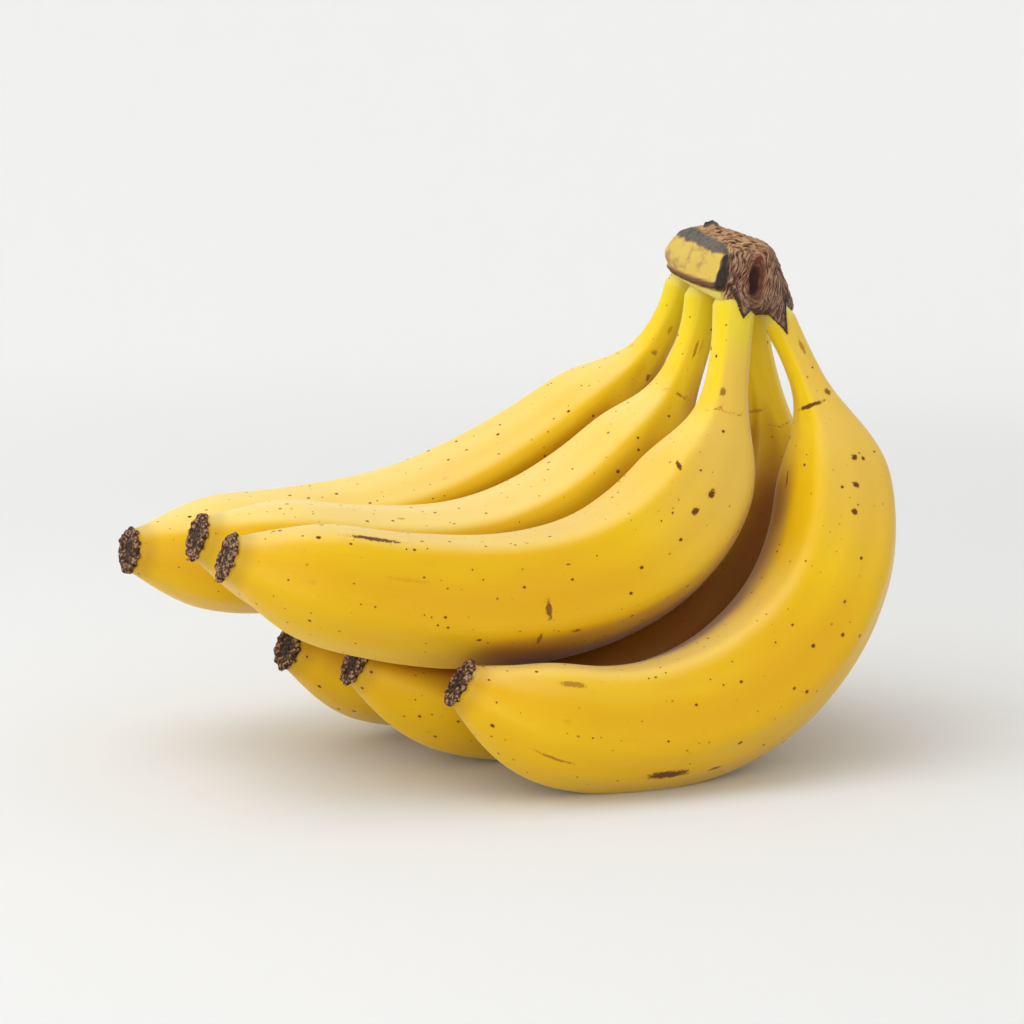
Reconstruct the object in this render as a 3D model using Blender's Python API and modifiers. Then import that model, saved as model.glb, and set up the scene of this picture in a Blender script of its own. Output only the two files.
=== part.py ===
"""A hand of six bananas on one cut crown, resting on the bellies of its three outer fingers.

Every finger grows from the crown as a narrow stem, widens at its neck, bends through one plane and ends in a
dried blossom end. The fingers stand in two rows of three: the inner row lies on top of the outer row.
Sizes in the tables are in millimetres and degrees. The model is in metres, +Z up, with its floor at z = 0.
"""
import math

import bmesh
import bpy
import numpy as np
from mathutils import Matrix, Vector

MM = 0.001

# ---- driving dimensions -----------------------------------------------------------------------
# root: where the stem leaves the crown. swing: compass heading of the tip. fan: sideways lean of the
# plane that the finger bends in. leans: how steeply the finger points down at its root, its neck,
# 30% and 65% of the body, and its tip. girths: radius at the body's shoulder, middle and fore end.
FINGERS = {
    "inner_back": dict(root=(53, 46, 131), swing=-153, fan=-13, stem=30, body=169,
                       leans=(87, 56, 32, 5, -9), stem_radius=4.5, girths=(16.7, 18.0, 17.8)),
    "inner_middle": dict(root=(57, 26, 129), swing=-156, fan=3, stem=33, body=158,
                         leans=(84, 62, 32, -4, -18), stem_radius=4.9, girths=(16.6, 17.5, 17.4)),
    "inner_front": dict(root=(63, 0, 128), swing=-158, fan=12, stem=34, body=162,
                        leans=(80, 74, 30, -6, -20), stem_radius=5.3, girths=(17.8, 17.2, 17.0)),
    "outer_front": dict(root=(72, 4, 123), swing=-156, fan=19, stem=30, body=173,
                        leans=(112, 104, 59, 10, -35), stem_radius=4.2, girths=(17.2, 18.0, 16.8)),
    "outer_middle": dict(root=(68, 29, 124), swing=-153, fan=9, stem=36, body=178,
                         leans=(94, 98, 46, 3, -27), stem_radius=4.8, girths=(16.5, 17.6, 16.6)),
    "outer_back": dict(root=(67, 50, 126), swing=-151, fan=-4, stem=39, body=179,
                       leans=(108, 83, 44, 2, -19), stem_radius=4.8, girths=(16.5, 17.8, 17.2)),
}
ORIGIN_SHIFT = (-1.1, 4.7, -1.3)    # centres the hand's box and lets its bellies dip below z = 0

LEAN_STATIONS = (0.0, 0.30, 0.65, 1.0)       # fractions of the body where the leans apply, after the root's
GIRTH_STATIONS = (0.0, 0.18, 0.45, 0.75, 1.0)
NECK_FLARE = {4: 0.44, 12: 0.66, 22: 0.88, 34: 0.96, 50: 1.0}      # share of the girth, mm past the neck
END_TAPER = {58: 1.0, 38: 0.96, 26: 0.93, 16: 0.81, 9: 0.63, 3: 0.47, 0: 0.37}     # share, mm before the end
STEM_ROOT_FLARE = 0.8
STEM_NECK_FLARE = 1.1
RIDGE_COUNT = 5
RIDGE_HEIGHT = 0.025                # share of the radius that a ridge stands out
SIDES = 20
RING_SPACING = 7.5

BLOSSOM_RADIUS = 6.0
BLOSSOM_PROFILE = ((0.0, 0.88), (0.8, 1.0), (2.2, 1.0), (3.2, 0.76), (3.7, 0.40))    # mm out, share of radius
BLOSSOM_SIDES = 16

# Corners of the crown, a cushion that is low over the outer row and is cut across its front and its top.
CROWN_INNER_SIDE = ((56, -7, 124), (59, -6, 137), (51, 22, 126), (49, 25, 132), (54, 24, 140),
                    (49, 47, 127), (45.5, 54, 134), (51, 54, 141))
CROWN_TOP_RIDGE = ((60, 42, 142.5), (64, 20, 140.5))
CROWN_OUTER_SIDE = ((66, -8, 119), (72, 2, 137.5), (80, 4, 119), (75, 24, 137), (82, 26, 119),
                    (71, 50, 137), (77, 55, 119))
CROWN_BACK = ((60, 61, 138), (62, 62, 124))
CROWN_ROUNDING = 2.5
CROWN_EDGE_ANGLE = 12               # degrees past which an edge of the crown is rounded
SOCKET_DEPTH = 18

FIT_GAP = 0.35                      # between pieces that meet
FLOOR_CUTTER = 400                  # side of the block that takes the flat spots off the bellies
SHARP_ANGLE = 50                    # degrees past which an edge is shaded sharp


def natural_curve(stations, values, at):
    """Natural cubic spline through values at stations, read at the points in at."""
    x, y = np.asarray(stations, float), np.asarray(values, float)
    step, slope = np.diff(x), np.diff(y) / np.diff(x)
    system, load = np.eye(len(x)), np.zeros(len(x))
    for i in range(1, len(x) - 1):
        system[i, i - 1:i + 2] = step[i - 1], 2 * (step[i - 1] + step[i]), step[i]
        load[i] = 6 * (slope[i] - slope[i - 1])
    bend = np.linalg.solve(system, load)
    k = np.clip(np.searchsorted(x, at) - 1, 0, len(x) - 2)
    left, right, h = x[k + 1] - at, at - x[k], step[k]
    cubic = (bend[k] * left ** 3 + bend[k + 1] * right ** 3) / (6 * h)
    return cubic + (y[k] / h - bend[k] * h / 6) * left + (y[k + 1] / h - bend[k + 1] * h / 6) * right


def steady_curve(stations, values, at):
    """Cubic through values that never overshoots them, held level past both ends."""
    x, y = np.asarray(stations, float), np.asarray(values, float)
    step, slope = np.diff(x), np.diff(y) / np.diff(x)
    grade = np.zeros(len(x))
    for i in range(1, len(x) - 1):
        if slope[i - 1] * slope[i] > 0:
            a, b = 2 * step[i] + step[i - 1], step[i] + 2 * step[i - 1]
            grade[i] = (a + b) / (a / slope[i - 1] + b / slope[i])
    at = np.clip(at, x[0], x[-1])
    k = np.clip(np.searchsorted(x, at) - 1, 0, len(x) - 2)
    h = step[k]
    t = (at - x[k]) / h
    ends = (2 * t ** 3 - 3 * t ** 2 + 1) * y[k] + (3 * t ** 2 - 2 * t ** 3) * y[k + 1]
    return ends + h * ((t ** 3 - 2 * t ** 2 + t) * grade[k] + (t ** 3 - t ** 2) * grade[k + 1])


def finger_axes(finger):
    """Unit vectors of a finger's plane: ahead, down, and the plane's normal."""
    swing, fan = math.radians(finger["swing"]), math.radians(finger["fan"])
    ahead = Vector((math.cos(swing), math.sin(swing), 0))
    side = Vector((-math.sin(swing), math.cos(swing), 0))
    down = Vector((0, 0, -math.cos(fan))) + side * math.sin(fan)
    return ahead, down, ahead.cross(down)


def finger_spine(finger, samples=400):
    """Centre line of a finger: distances along it, its points and its directions."""
    ahead, down, _ = finger_axes(finger)
    stem, body = finger["stem"], finger["body"]
    along = np.linspace(0, stem + body, samples)
    stations = [0] + [stem + share * body for share in LEAN_STATIONS]
    lean = np.radians(natural_curve(stations, finger["leans"], along))
    heading = np.outer(np.cos(lean), ahead) + np.outer(np.sin(lean), down)
    steps = (heading[1:] + heading[:-1]) / 2 * along[1]
    points = np.vstack([[0, 0, 0], np.cumsum(steps, axis=0)]) + finger["root"] + np.array(ORIGIN_SHIFT)
    return along, points, heading


def finger_radius(finger, along):
    """Mean radius of a finger at distances along it."""
    stem, body = finger["stem"], finger["body"]
    shoulder, middle, fore = finger["girths"]
    thin = finger["stem_radius"]
    girth = steady_curve(GIRTH_STATIONS, (shoulder, shoulder, middle, fore, fore), (along - stem) / body)
    flare = steady_curve(list(NECK_FLARE), list(NECK_FLARE.values()), along - stem)
    taper = steady_curve([-d for d in END_TAPER], list(END_TAPER.values()), along - stem - body)
    first = min(NECK_FLARE)
    neck = steady_curve((0, stem / 2, stem, stem + first),
                        (thin + STEM_ROOT_FLARE, thin, thin + STEM_NECK_FLARE, shoulder * NECK_FLARE[first]),
                        along)
    return np.where(along < stem + first, neck, girth * flare * taper)


def finger_ring(finger, distance, grow=0.0, sides=SIDES):
    """One cross-section of a finger, as points in metres: round at both ends, softly five-sided between."""
    along, points, heading = finger_spine(finger)
    centre = Vector([np.interp(distance, along, points[:, axis]) for axis in range(3)])
    ahead = Vector([np.interp(distance, along, heading[:, axis]) for axis in range(3)]).normalized()
    normal = finger_axes(finger)[2]
    inward = normal.cross(ahead)
    radius = float(finger_radius(finger, np.array([distance]))[0]) + grow
    stem, length = finger["stem"], finger["stem"] + finger["body"]
    ridge = RIDGE_HEIGHT * float(steady_curve((0, stem, stem + 25, length - 12, length), (0, 0.5, 1, 0.6, 0),
                                              np.array([distance]))[0])
    ring = []
    for i in range(sides):
        turn = 2 * math.pi * i / sides
        reach = radius * (1 + ridge * math.cos(RIDGE_COUNT * turn))
        ring.append((centre + (inward * math.cos(turn) + normal * math.sin(turn)) * reach) * MM)
    return ring


def mesh_object(name, bm):
    """New object from a bmesh, which is freed."""
    mesh = bpy.data.meshes.new(name)
    bm.to_mesh(mesh)
    bm.free()
    return bpy.data.objects.new(name, mesh)


def loft(name, rings):
    """Closed mesh object from rings of equal count, capped at both ends."""
    bm = bmesh.new()
    loops = [[bm.verts.new(point) for point in ring] for ring in rings]
    for near, far in zip(loops, loops[1:]):
        for i in range(len(near)):
            j = (i + 1) % len(near)
            bm.faces.new((near[i], near[j], far[j], far[i]))
    bm.faces.new(loops[0][::-1])
    bm.faces.new(loops[-1])
    bmesh.ops.recalc_face_normals(bm, faces=bm.faces)
    made = mesh_object(name, bm)
    made.data.shade_smooth()
    made.data.set_sharp_from_angle(angle=math.radians(SHARP_ANGLE))
    return made


def cut(target, cutter):
    """Take cutter out of target with an exact Boolean."""
    modifier = target.modifiers.new(cutter.name, "BOOLEAN")
    modifier.operation = "DIFFERENCE"
    modifier.solver = "EXACT"
    modifier.object = cutter


def material(name, colour, roughness):
    """Principled material with one colour and roughness."""
    made = bpy.data.materials.new(name)
    made.use_nodes = True
    shader = made.node_tree.nodes["Principled BSDF"]
    shader.inputs["Base Color"].default_value = (*colour, 1.0)
    shader.inputs["Roughness"].default_value = roughness
    made.diffuse_color = (*colour, 1.0)
    return made


def collection(name):
    """New collection in the scene."""
    made = bpy.data.collections.new(name)
    bpy.context.scene.collection.children.link(made)
    return made


def add_part(parts, made, finish):
    """Link a finished part and give it its material."""
    made.data.materials.append(finish)
    parts.objects.link(made)


def add_cutter(cutters, made):
    """Link a cutter so that it shows as wire and never renders."""
    made.hide_render = True
    made.display_type = "WIRE"
    cutters.objects.link(made)
    return made


def build_finger(name, finger):
    """Stem and body of one finger, a loft along its bent centre line."""
    length = finger["stem"] + finger["body"]
    count = round(length / RING_SPACING)
    return loft(name, [finger_ring(finger, length * i / count) for i in range(count + 1)])


def build_blossom_end(name, finger):
    """Dried stub that caps the tip of a finger, turned about the finger's last direction."""
    along, points, heading = finger_spine(finger)
    tip, ahead = Vector(points[-1]), Vector(heading[-1]).normalized()
    normal = finger_axes(finger)[2]
    inward = normal.cross(ahead)
    rings = []
    for reach, share in BLOSSOM_PROFILE:
        centre = tip + ahead * (FIT_GAP + reach)
        turns = [2 * math.pi * i / BLOSSOM_SIDES for i in range(BLOSSOM_SIDES)]
        spokes = [inward * math.cos(turn) + normal * math.sin(turn) for turn in turns]
        rings.append([(centre + spoke * BLOSSOM_RADIUS * share) * MM for spoke in spokes])
    return loft(name, rings)


def build_floor():
    """Block whose top is the floor, which cuts the flat spots."""
    bm = bmesh.new()
    below = Matrix.Translation((0, 0, -FLOOR_CUTTER / 2 * MM))
    bmesh.ops.create_cube(bm, size=FLOOR_CUTTER * MM, matrix=below)
    return mesh_object("floor_flat", bm)


def build_crown():
    """Cushion of stalk tissue that joins the six stems: the hull of its corners, with rounded edges."""
    bm = bmesh.new()
    for corner in CROWN_INNER_SIDE + CROWN_TOP_RIDGE + CROWN_OUTER_SIDE + CROWN_BACK:
        bm.verts.new((Vector(corner) + Vector(ORIGIN_SHIFT)) * MM)
    hull = bmesh.ops.convex_hull(bm, input=bm.verts)
    bmesh.ops.delete(bm, geom=hull["geom_interior"], context="VERTS")
    bmesh.ops.recalc_face_normals(bm, faces=bm.faces)
    crown = mesh_object("crown", bm)
    rounding = crown.modifiers.new("rounding", "BEVEL")
    rounding.width = CROWN_ROUNDING * MM
    rounding.segments = 3
    rounding.angle_limit = math.radians(CROWN_EDGE_ANGLE)
    return crown


def build_socket(name, finger):
    """Root of a stem, swollen by the fit gap, that cuts the stem's socket in the crown."""
    rings = [finger_ring(finger, distance, grow=FIT_GAP) for distance in np.linspace(0, SOCKET_DEPTH, 3)]
    upward = (rings[0][0] - rings[1][0]).normalized() * FIT_GAP * MM
    return loft(name, [[point + upward for point in rings[0]]] + rings[1:])


def main():
    """Build the hand of bananas."""
    for made in list(bpy.data.objects):
        bpy.data.objects.remove(made, do_unlink=True)
    parts, cutters = collection("banana_hand"), collection("cutters")
    peel = material("banana_peel", (0.80, 0.49, 0.03), 0.42)
    dried = material("dried_blossom_end", (0.06, 0.04, 0.03), 0.85)
    stalk = material("cut_stalk", (0.22, 0.12, 0.06), 0.80)

    floor = add_cutter(cutters, build_floor())
    crown = build_crown()
    for name, finger in FINGERS.items():
        body = build_finger("finger_" + name, finger)
        if name.startswith("outer"):
            cut(body, floor)
        add_part(parts, body, peel)
        add_part(parts, build_blossom_end("blossom_end_" + name, finger), dried)
        cut(crown, add_cutter(cutters, build_socket("socket_" + name, finger)))
    add_part(parts, crown, stalk)


main()
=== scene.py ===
"""A hand of six ripe bananas on one cut crown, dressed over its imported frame.

One Geometry Nodes tree sweeps every finger and every blossom end. It reads a spine, a chain of points that
carries the radius and the directions of each cross-section, and lays a ring of faces round each point. The
crown is the outer hull of its solid, remeshed, roughened and marked by region, with a ragged skirt of dried
tissue that hangs over the front stems. Lengths in fields and tables are in millimetres and angles in degrees,
unless they say otherwise. Meshes are in metres, in the frame's own axes: +Z up, the crown towards +X and the
back row towards +Y.
"""
import logging
import math
from dataclasses import dataclass, field
from enum import Enum

import bmesh
import bpy
import numpy as np
from mathutils import Matrix, Vector, noise
from mathutils.bvhtree import BVHTree


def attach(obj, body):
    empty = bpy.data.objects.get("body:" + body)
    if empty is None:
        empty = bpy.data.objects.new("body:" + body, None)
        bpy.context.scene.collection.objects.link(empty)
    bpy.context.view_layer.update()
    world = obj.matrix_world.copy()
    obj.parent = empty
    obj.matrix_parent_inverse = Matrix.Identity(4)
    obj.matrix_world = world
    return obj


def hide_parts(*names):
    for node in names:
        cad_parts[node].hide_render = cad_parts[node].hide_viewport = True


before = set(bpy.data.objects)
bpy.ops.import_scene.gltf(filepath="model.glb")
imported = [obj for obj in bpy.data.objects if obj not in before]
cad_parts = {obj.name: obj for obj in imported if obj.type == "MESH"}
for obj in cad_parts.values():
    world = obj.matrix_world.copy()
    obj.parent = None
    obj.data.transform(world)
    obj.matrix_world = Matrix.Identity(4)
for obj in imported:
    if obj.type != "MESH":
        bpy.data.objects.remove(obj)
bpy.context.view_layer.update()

BODY = "root"
MM = 0.001
log = logging.getLogger("banana_hand")

Point = tuple[float, float, float]

# Kinds of node that the trees below use again and again: a type, with a property and its value where that
# picks what the node does.
Kind = str | tuple[str, str, str]
MAP_RANGE, MIX, NOISE = "ShaderNodeMapRange", "ShaderNodeMix", "ShaderNodeTexNoise"
VORONOI, MAPPING, ATTRIBUTE = "ShaderNodeTexVoronoi", "ShaderNodeMapping", "ShaderNodeAttribute"
SPLIT, JOIN = "ShaderNodeSeparateXYZ", "ShaderNodeCombineXYZ"
SMOOTH_RANGE = (MAP_RANGE, "interpolation_type", "SMOOTHSTEP")
ADD, SUBTRACT, MULTIPLY, DIVIDE, POWER, MULTIPLY_ADD = (
    ("ShaderNodeMath", "operation", name)
    for name in ("ADD", "SUBTRACT", "MULTIPLY", "DIVIDE", "POWER", "MULTIPLY_ADD"))
MAXIMUM, LESS_THAN, ABSOLUTE, ROUND, SINE, COSINE = (
    ("ShaderNodeMath", "operation", name)
    for name in ("MAXIMUM", "LESS_THAN", "ABSOLUTE", "ROUND", "SINE", "COSINE"))
VECTOR_ADD, VECTOR_SUBTRACT, VECTOR_MULTIPLY, VECTOR_SCALE, VECTOR_DOT, VECTOR_LENGTH, VECTOR_NORMALIZE = (
    ("ShaderNodeVectorMath", "operation", name)
    for name in ("ADD", "SUBTRACT", "MULTIPLY", "SCALE", "DOT_PRODUCT", "LENGTH", "NORMALIZE"))


# ---- the rule that every finger follows ---------------------------------------------------------
ORIGIN_SHIFT = (-1.1, 4.7, -1.3)             # centres the hand's box and lets its bellies dip below z = 0
LEAN_STATIONS = (0.0, 0.30, 0.65, 1.0)       # fractions of the body where the leans apply, after the root's
GIRTH_STATIONS = (0.0, 0.18, 0.45, 0.75, 1.0)
NECK_FLARE = {4: 0.44, 12: 0.66, 22: 0.88, 34: 0.96, 50: 1.0}      # share of the girth, mm past the neck
END_TAPER = {58: 1.0, 38: 0.96, 26: 0.93, 16: 0.81, 9: 0.63, 3: 0.47, 0: 0.37}     # share, mm before the end
STEM_ROOT_FLARE = 0.8
STEM_NECK_FLARE = 1.1
RIDGE_COUNT = 5
RIDGE_HEIGHT = 0.052                         # share of the radius that a ridge stands out
FIT_GAP = 0.35                               # between a finger's end and its blossom end
GOLDEN_ANGLE = math.pi * (3 - math.sqrt(5))  # turn that spreads directions evenly


class Row(Enum):
    """Which of the two rows a finger belongs to."""

    INNER = "inner"
    OUTER = "outer"


class Place(Enum):
    """Where a finger stands in its row."""

    BACK = "back"
    MIDDLE = "middle"
    FRONT = "front"


@dataclass(frozen=True)
class Mark:
    """A brown scar on a peel, an oval with a ragged edge.

    Attributes:
        along: distance of its middle from the finger's root.
        turn: angle of its middle round the finger, from the inside of the bend.
        length: its size along the finger.
        width: its size round the finger.
        slant: angle that its length turns away from the finger's own direction.
        strength: how dark it is, from 0 to 1.
    """

    along: float
    turn: float
    length: float
    width: float
    slant: float = 0.0
    strength: float = 1.0


@dataclass(frozen=True)
class Finger:
    """One banana: a stem and a body that bend through one plane.

    Attributes:
        row: its row.
        place: its place in that row.
        root: where the stem leaves the crown.
        swing: compass heading of the tip.
        fan: sideways lean of the plane that the finger bends in.
        stem: length of the stem.
        body: length of the body.
        leans: how steeply it points down at its root, its neck, 30% and 65% of the body, and its tip.
        stem_radius: radius of the stem's thinnest place.
        girths: radius at the body's shoulder, middle and fore end.
        ridge_turn: angle of the first ridge from the inside of the bend.
        marks: scars on its peel.
    """

    row: Row
    place: Place
    root: Point
    swing: float
    fan: float
    stem: float
    body: float
    leans: tuple[float, ...]
    stem_radius: float
    girths: Point
    ridge_turn: float = 0.0
    marks: tuple[Mark, ...] = ()

    @property
    def name(self) -> str:
        """Row and place in one word, as the frame's nodes are named."""
        return f"{self.row.value}_{self.place.value}"

    @property
    def length(self) -> float:
        """Length of stem and body together."""
        return self.stem + self.body

    def axes(self) -> tuple[Vector, Vector, Vector]:
        """Directions of the plane that the finger bends in.

        Returns:
            Unit vectors ahead, down, and along the plane's normal.
        """
        swing, fan = math.radians(self.swing), math.radians(self.fan)
        ahead = Vector((math.cos(swing), math.sin(swing), 0))
        side = Vector((-math.sin(swing), math.cos(swing), 0))
        down = Vector((0, 0, -math.cos(fan))) + side * math.sin(fan)
        return ahead, down, ahead.cross(down)

    def spine(self, samples: int = 400) -> tuple[np.ndarray, np.ndarray, np.ndarray]:
        """Centre line of the finger.

        Args:
            samples: how many points to read.

        Returns:
            Distances along it, its points, and its directions.
        """
        ahead, down, _ = self.axes()
        along = np.linspace(0, self.length, samples)
        stations = [0] + [self.stem + share * self.body for share in LEAN_STATIONS]
        lean = np.radians(natural_curve(stations, self.leans, along))
        heading = np.outer(np.cos(lean), ahead) + np.outer(np.sin(lean), down)
        steps = (heading[1:] + heading[:-1]) / 2 * along[1]
        points = np.vstack([[0, 0, 0], np.cumsum(steps, axis=0)]) + self.root + np.array(ORIGIN_SHIFT)
        return along, points, heading

    def radius(self, along: np.ndarray) -> np.ndarray:
        """Mean radius of the finger.

        Args:
            along: distances from its root.

        Returns:
            The radius at each of them.
        """
        shoulder, middle, fore = self.girths
        girth = steady_curve(GIRTH_STATIONS, (shoulder, shoulder, middle, fore, fore),
                             (along - self.stem) / self.body)
        flare = steady_curve(list(NECK_FLARE), list(NECK_FLARE.values()), along - self.stem)
        taper = steady_curve([-d for d in END_TAPER], list(END_TAPER.values()), along - self.length)
        first = min(NECK_FLARE)
        thin = self.stem_radius
        stem_radii = (thin + STEM_ROOT_FLARE, thin, thin + STEM_NECK_FLARE, shoulder * NECK_FLARE[first])
        neck = steady_curve((0, self.stem / 2, self.stem, self.stem + first), stem_radii, along)
        return np.where(along < self.stem + first, neck, girth * flare * taper)


def natural_curve(stations: list[float], values: tuple[float, ...], at: np.ndarray) -> np.ndarray:
    """Natural cubic spline through values at stations.

    Args:
        stations: rising positions.
        values: one value for each station.
        at: positions to read.

    Returns:
        The spline's values there.
    """
    x, y = np.asarray(stations, float), np.asarray(values, float)
    step, slope = np.diff(x), np.diff(y) / np.diff(x)
    system, load = np.eye(len(x)), np.zeros(len(x))
    for i in range(1, len(x) - 1):
        system[i, i - 1:i + 2] = step[i - 1], 2 * (step[i - 1] + step[i]), step[i]
        load[i] = 6 * (slope[i] - slope[i - 1])
    bend = np.linalg.solve(system, load)
    k = np.clip(np.searchsorted(x, at) - 1, 0, len(x) - 2)
    left, right, h = x[k + 1] - at, at - x[k], step[k]
    cubic = (bend[k] * left ** 3 + bend[k + 1] * right ** 3) / (6 * h)
    return cubic + (y[k] / h - bend[k] * h / 6) * left + (y[k + 1] / h - bend[k + 1] * h / 6) * right


def steady_curve(stations: list[float], values: list[float], at: np.ndarray) -> np.ndarray:
    """Cubic through values that never overshoots them, held level past both ends.

    Args:
        stations: rising positions.
        values: one value for each station.
        at: positions to read.

    Returns:
        The cubic's values there.
    """
    x, y = np.asarray(stations, float), np.asarray(values, float)
    step, slope = np.diff(x), np.diff(y) / np.diff(x)
    grade = np.zeros(len(x))
    for i in range(1, len(x) - 1):
        if slope[i - 1] * slope[i] > 0:
            a, b = 2 * step[i] + step[i - 1], step[i] + 2 * step[i - 1]
            grade[i] = (a + b) / (a / slope[i - 1] + b / slope[i])
    at = np.clip(at, x[0], x[-1])
    k = np.clip(np.searchsorted(x, at) - 1, 0, len(x) - 2)
    h = step[k]
    t = (at - x[k]) / h
    ends = (2 * t ** 3 - 3 * t ** 2 + 1) * y[k] + (3 * t ** 2 - 2 * t ** 3) * y[k + 1]
    return ends + h * ((t ** 3 - 2 * t ** 2 + t) * grade[k] + (t ** 3 - t ** 2) * grade[k + 1])


FINGERS = (
    Finger(Row.INNER, Place.BACK, root=(53, 46, 131), swing=-153, fan=-13, stem=30, body=169,
           leans=(87, 56, 32, 5, -9), stem_radius=4.5, girths=(16.7, 18.0, 17.8), ridge_turn=-8,
           marks=(Mark(30, 188, 3, 1.5, strength=0.5), Mark(28, 111, 2, 2, strength=0.7),
                  Mark(35, 91, 2.5, 1.5, strength=0.8), Mark(20, 102, 3, 1.5, strength=0.6))),
    Finger(Row.INNER, Place.MIDDLE, root=(57, 26, 129), swing=-156, fan=3, stem=33, body=158,
           leans=(84, 62, 32, -4, -18), stem_radius=4.9, girths=(16.6, 17.5, 17.4), ridge_turn=-14,
           marks=(Mark(22, 105, 6, 1, strength=0.7), Mark(21, 89, 5, 1, strength=0.5),
                  Mark(140, 150, 3, 1.5, strength=0.6))),
    Finger(Row.INNER, Place.FRONT, root=(63, 0, 128), swing=-158, fan=12, stem=34, body=162,
           leans=(80, 74, 30, -6, -20), stem_radius=5.3, girths=(17.8, 17.2, 17.0), ridge_turn=-12,
           marks=(Mark(165, 136, 17, 2.2), Mark(156, 100, 13, 1.2, strength=0.4),
                  Mark(119, 76, 2, 6, strength=0.9), Mark(121, 50, 1.5, 5, strength=0.8),
                  Mark(61, 133, 5, 1.6, slant=40), Mark(63, 94, 3.5, 2.2), Mark(70, 97, 3, 2),
                  Mark(32, 122, 3, 2, strength=0.8))),
    Finger(Row.OUTER, Place.FRONT, root=(72, 4, 123), swing=-156, fan=19, stem=30, body=173,
           leans=(112, 104, 59, 10, -35), stem_radius=4.2, girths=(17.2, 18.0, 16.8), ridge_turn=-10,
           marks=(Mark(180, 120, 9, 2, strength=0.7), Mark(181, 42, 11, 1.2, strength=0.7),
                  Mark(153, 32, 12, 3.6), Mark(141, 25, 4, 1.6, strength=0.9),
                  Mark(53, 182, 8, 1.1, strength=0.9), Mark(50, 97, 2.2, 2), Mark(58, 100, 2.2, 2),
                  Mark(66, 102, 2.4, 2), Mark(32, 139, 1.5, 9), Mark(30, 80, 2.5, 2, strength=0.9),
                  Mark(16, 88, 6, 1.4, strength=0.7))),
    Finger(Row.OUTER, Place.MIDDLE, root=(68, 29, 124), swing=-153, fan=9, stem=36, body=178,
           leans=(94, 98, 46, 3, -27), stem_radius=4.8, girths=(16.5, 17.6, 16.6), ridge_turn=5,
           marks=(Mark(34, 160, 1.2, 7, strength=0.6), Mark(150, 60, 9, 1.6, strength=0.6))),
    Finger(Row.OUTER, Place.BACK, root=(67, 50, 126), swing=-151, fan=-4, stem=39, body=179,
           leans=(108, 83, 44, 2, -19), stem_radius=4.8, girths=(16.5, 17.8, 17.2), ridge_turn=-4,
           marks=(Mark(70, 200, 7, 2.2, strength=0.8), Mark(110, 260, 10, 1.6, strength=0.7))),
)


# ---- nodes and colours --------------------------------------------------------------------------
def feed(tree: bpy.types.NodeTree, socket: bpy.types.NodeSocket, value: object) -> None:
    """Link an input to a node or to another socket, or give it a plain value.

    Args:
        tree: tree that the input is in.
        socket: the input.
        value: a node, whose first shown output is meant, a socket, a plain value, or None to leave it.
    """
    if isinstance(value, bpy.types.Node):
        value = next(output for output in value.outputs if output.enabled)
    if isinstance(value, bpy.types.NodeSocket):
        tree.links.new(value, socket)
    elif value is not None:
        socket.default_value = value


def add(tree: bpy.types.NodeTree, kind: Kind, *values: object, named: dict[str, object] | None = None,
        **settings: object) -> bpy.types.Node:
    """Add a node with its settings and its links.

    Args:
        tree: tree that the node joins.
        kind: the node's type, with a property and its value where that picks what it does.
        values: what its shown inputs get, in order: a node, a socket, a plain value, or None to leave it.
        named: the same for inputs picked by name.
        settings: the node's own properties.

    Returns:
        The node.
    """
    if not isinstance(kind, str):
        kind, name, value = kind
        settings[name] = value
    node = tree.nodes.new(kind)
    for name, value in settings.items():
        setattr(node, name, value)
    shown = [socket for socket in node.inputs if socket.enabled]
    wanted = list(zip(shown, values))
    for name, value in (named or {}).items():
        wanted.append((next(socket for socket in shown if socket.name == name), value))
    for socket, value in wanted:
        feed(tree, socket, value)
    return node


def linear(colour: str) -> tuple[float, float, float, float]:
    """Linear RGBA of an sRGB hex colour such as "#E3B72A"."""
    shares = [int(colour[i:i + 2], 16) / 255 for i in (1, 3, 5)]
    return (*(c / 12.92 if c <= 0.04045 else ((c + 0.055) / 1.055) ** 2.4 for c in shares), 1.0)


def paint(tree: bpy.types.NodeTree, base: object, coats: list[tuple[object, str]]) -> bpy.types.Node:
    """Lay coats of colour over a base.

    Args:
        tree: material's node tree.
        base: colour, node or socket under the first coat.
        coats: pairs of how much a coat covers, a node, socket or number, and its hex colour.

    Returns:
        Node that gives the finished colour.
    """
    for cover, colour in coats:
        base = add(tree, MIX, cover, base, linear(colour), data_type="RGBA")
    return base


def new_material(name: str) -> tuple[bpy.types.Material, bpy.types.NodeTree]:
    """Make a material.

    Args:
        name: its name.

    Returns:
        The material and its tree, which holds a Principled shader.
    """
    made = bpy.data.materials.new(name)
    made.use_nodes = True
    return made, made.node_tree


def shade(tree: bpy.types.NodeTree, inputs: dict[str, object]) -> None:
    """Feed the named inputs of a material's Principled shader."""
    for name, value in inputs.items():
        feed(tree, tree.nodes["Principled BSDF"].inputs[name], value)


# ---- objects and meshes -------------------------------------------------------------------------
def new_object(name: str, data: bpy.types.ID) -> bpy.types.Object:
    """Put a new object in the scene, at the origin.

    Args:
        name: its name.
        data: its mesh, light or camera.

    Returns:
        The object.
    """
    made = bpy.data.objects.new(name, data)
    bpy.context.scene.collection.objects.link(made)
    return made


def evaluated_mesh(source: bpy.types.Object) -> bpy.types.Mesh:
    """Plain mesh of an object with its modifiers carried out."""
    graph = bpy.context.evaluated_depsgraph_get()
    return bpy.data.meshes.new_from_object(source.evaluated_get(graph), depsgraph=graph)


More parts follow.
